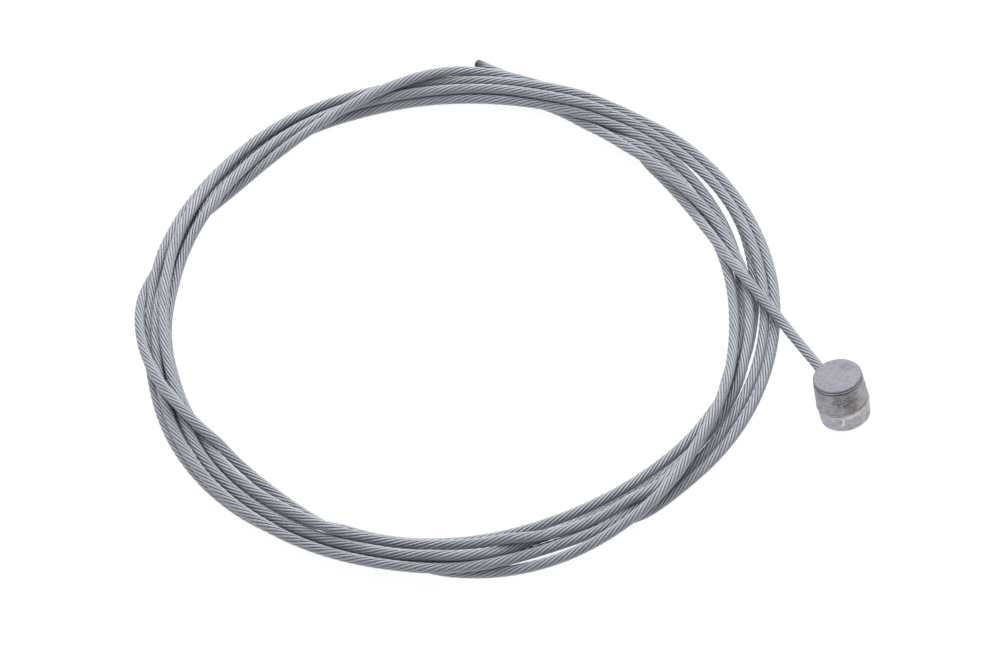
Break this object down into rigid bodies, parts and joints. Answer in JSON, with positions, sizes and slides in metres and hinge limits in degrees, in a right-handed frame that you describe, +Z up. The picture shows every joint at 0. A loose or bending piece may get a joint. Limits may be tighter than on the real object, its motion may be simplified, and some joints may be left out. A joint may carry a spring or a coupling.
{
  "type": "bicycle brake cable",
  "caption": "Bicycle brake inner wire of twisted steel, wound in a loose round coil, with a cast barrel nipple on one end and a fused tip on the other.",
  "frame": {"origin": "middle of the whole object's box, on the plane that the coil lies on", "axes": "+Z up from that plane; +X from the coil towards the barrel nipple's side; +Y towards the fused tip"},
  "size_m": [0.1038, 0.0952, 0.0088],
  "materials": {
    "steel_strand": "galvanised drawn wire, satin, blue-grey",
    "cast_zinc": "die-cast zinc as cast, dull grey with scuffs and dirt"
  },
  "bodies": {
    "root": {"barrel_nipple": "cast_zinc", "coiled_wire": "steel_strand", "lead_wire": "steel_strand", "tail_wire": "steel_strand"}
  },
  "joints": []
}
